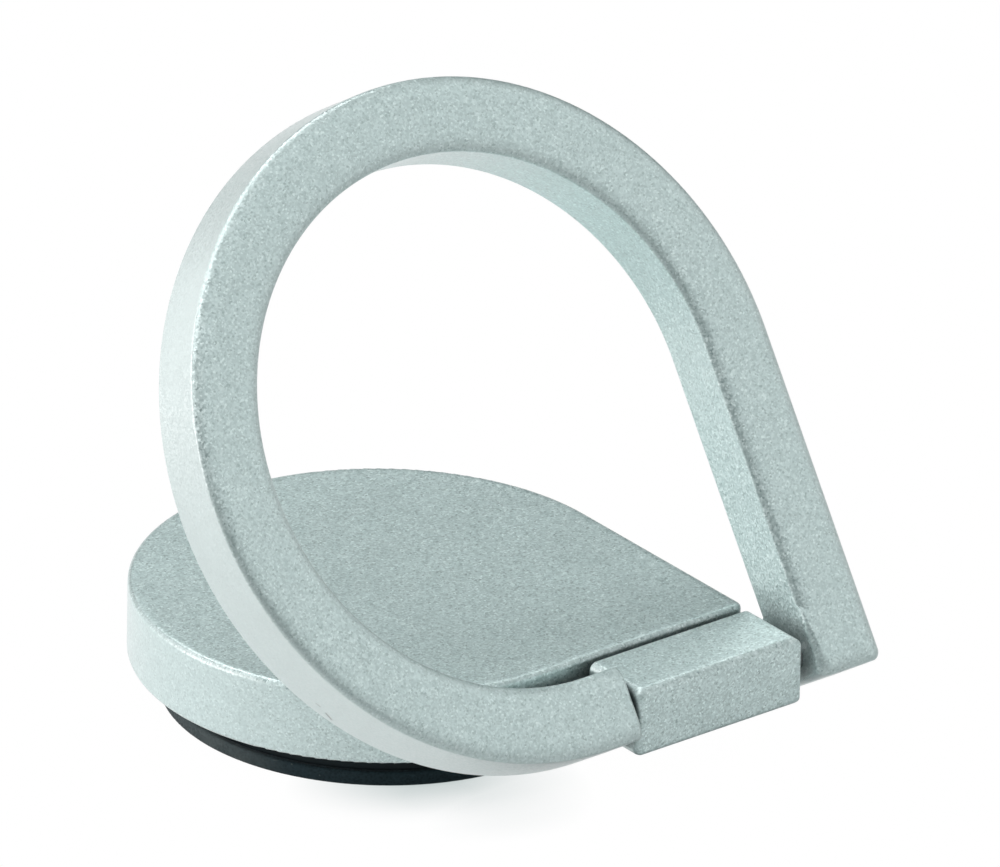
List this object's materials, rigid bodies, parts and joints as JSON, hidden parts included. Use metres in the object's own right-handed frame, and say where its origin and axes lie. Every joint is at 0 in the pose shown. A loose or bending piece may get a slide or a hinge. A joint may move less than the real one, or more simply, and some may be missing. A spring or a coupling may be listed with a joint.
{
  "type": "phone ring holder",
  "caption": "Drop-shaped metal finger ring hinged on a matching plate that swivels on a round adhesive foot, to grip or stand a phone.",
  "frame": {"origin": "middle of the round adhesive face that sticks to the phone, on the swivel axis", "axes": "+Z out of the phone along the swivel axis, +X along the hinge pin towards the drop's square corner, the hinge on the -Y side"},
  "size_m": [0.04, 0.0356, 0.0375],
  "materials": {
    "plate_paint": "matt silver metallic paint with fine sparkle on zinc",
    "ring_paint": "matt silver metallic paint with fine sparkle on zinc",
    "pin_steel": "ground",
    "sleeve_steel": "rolled",
    "pad_foam": "matt black foam",
    "turntable_plastic": "moulded, satin black",
    "rivet_steel": "turned",
    "washer_steel": "rolled"
  },
  "bodies": {
    "foot": {"adhesive_pad": "pad_foam", "turntable": "turntable_plastic"},
    "plate": {"base_plate": "plate_paint", "friction_sleeve": "sleeve_steel", "swivel_rivet": "rivet_steel", "spring_washer": "washer_steel"},
    "loop": {"ring": "ring_paint", "hinge_pin": "pin_steel"}
  },
  "joints": [
    {"name": "swivel", "type": "hinge", "parent": "foot", "child": "plate", "pos_m": [0, 0, 0], "axis": [0, 0, 1], "continuous": true},
    {"name": "ring_hinge", "type": "hinge", "parent": "plate", "child": "loop", "pos_m": [0, -0.01825, 0.00465], "axis": [1, 0, 0], "range_deg": [-56.3, 123.7]}
  ]
}
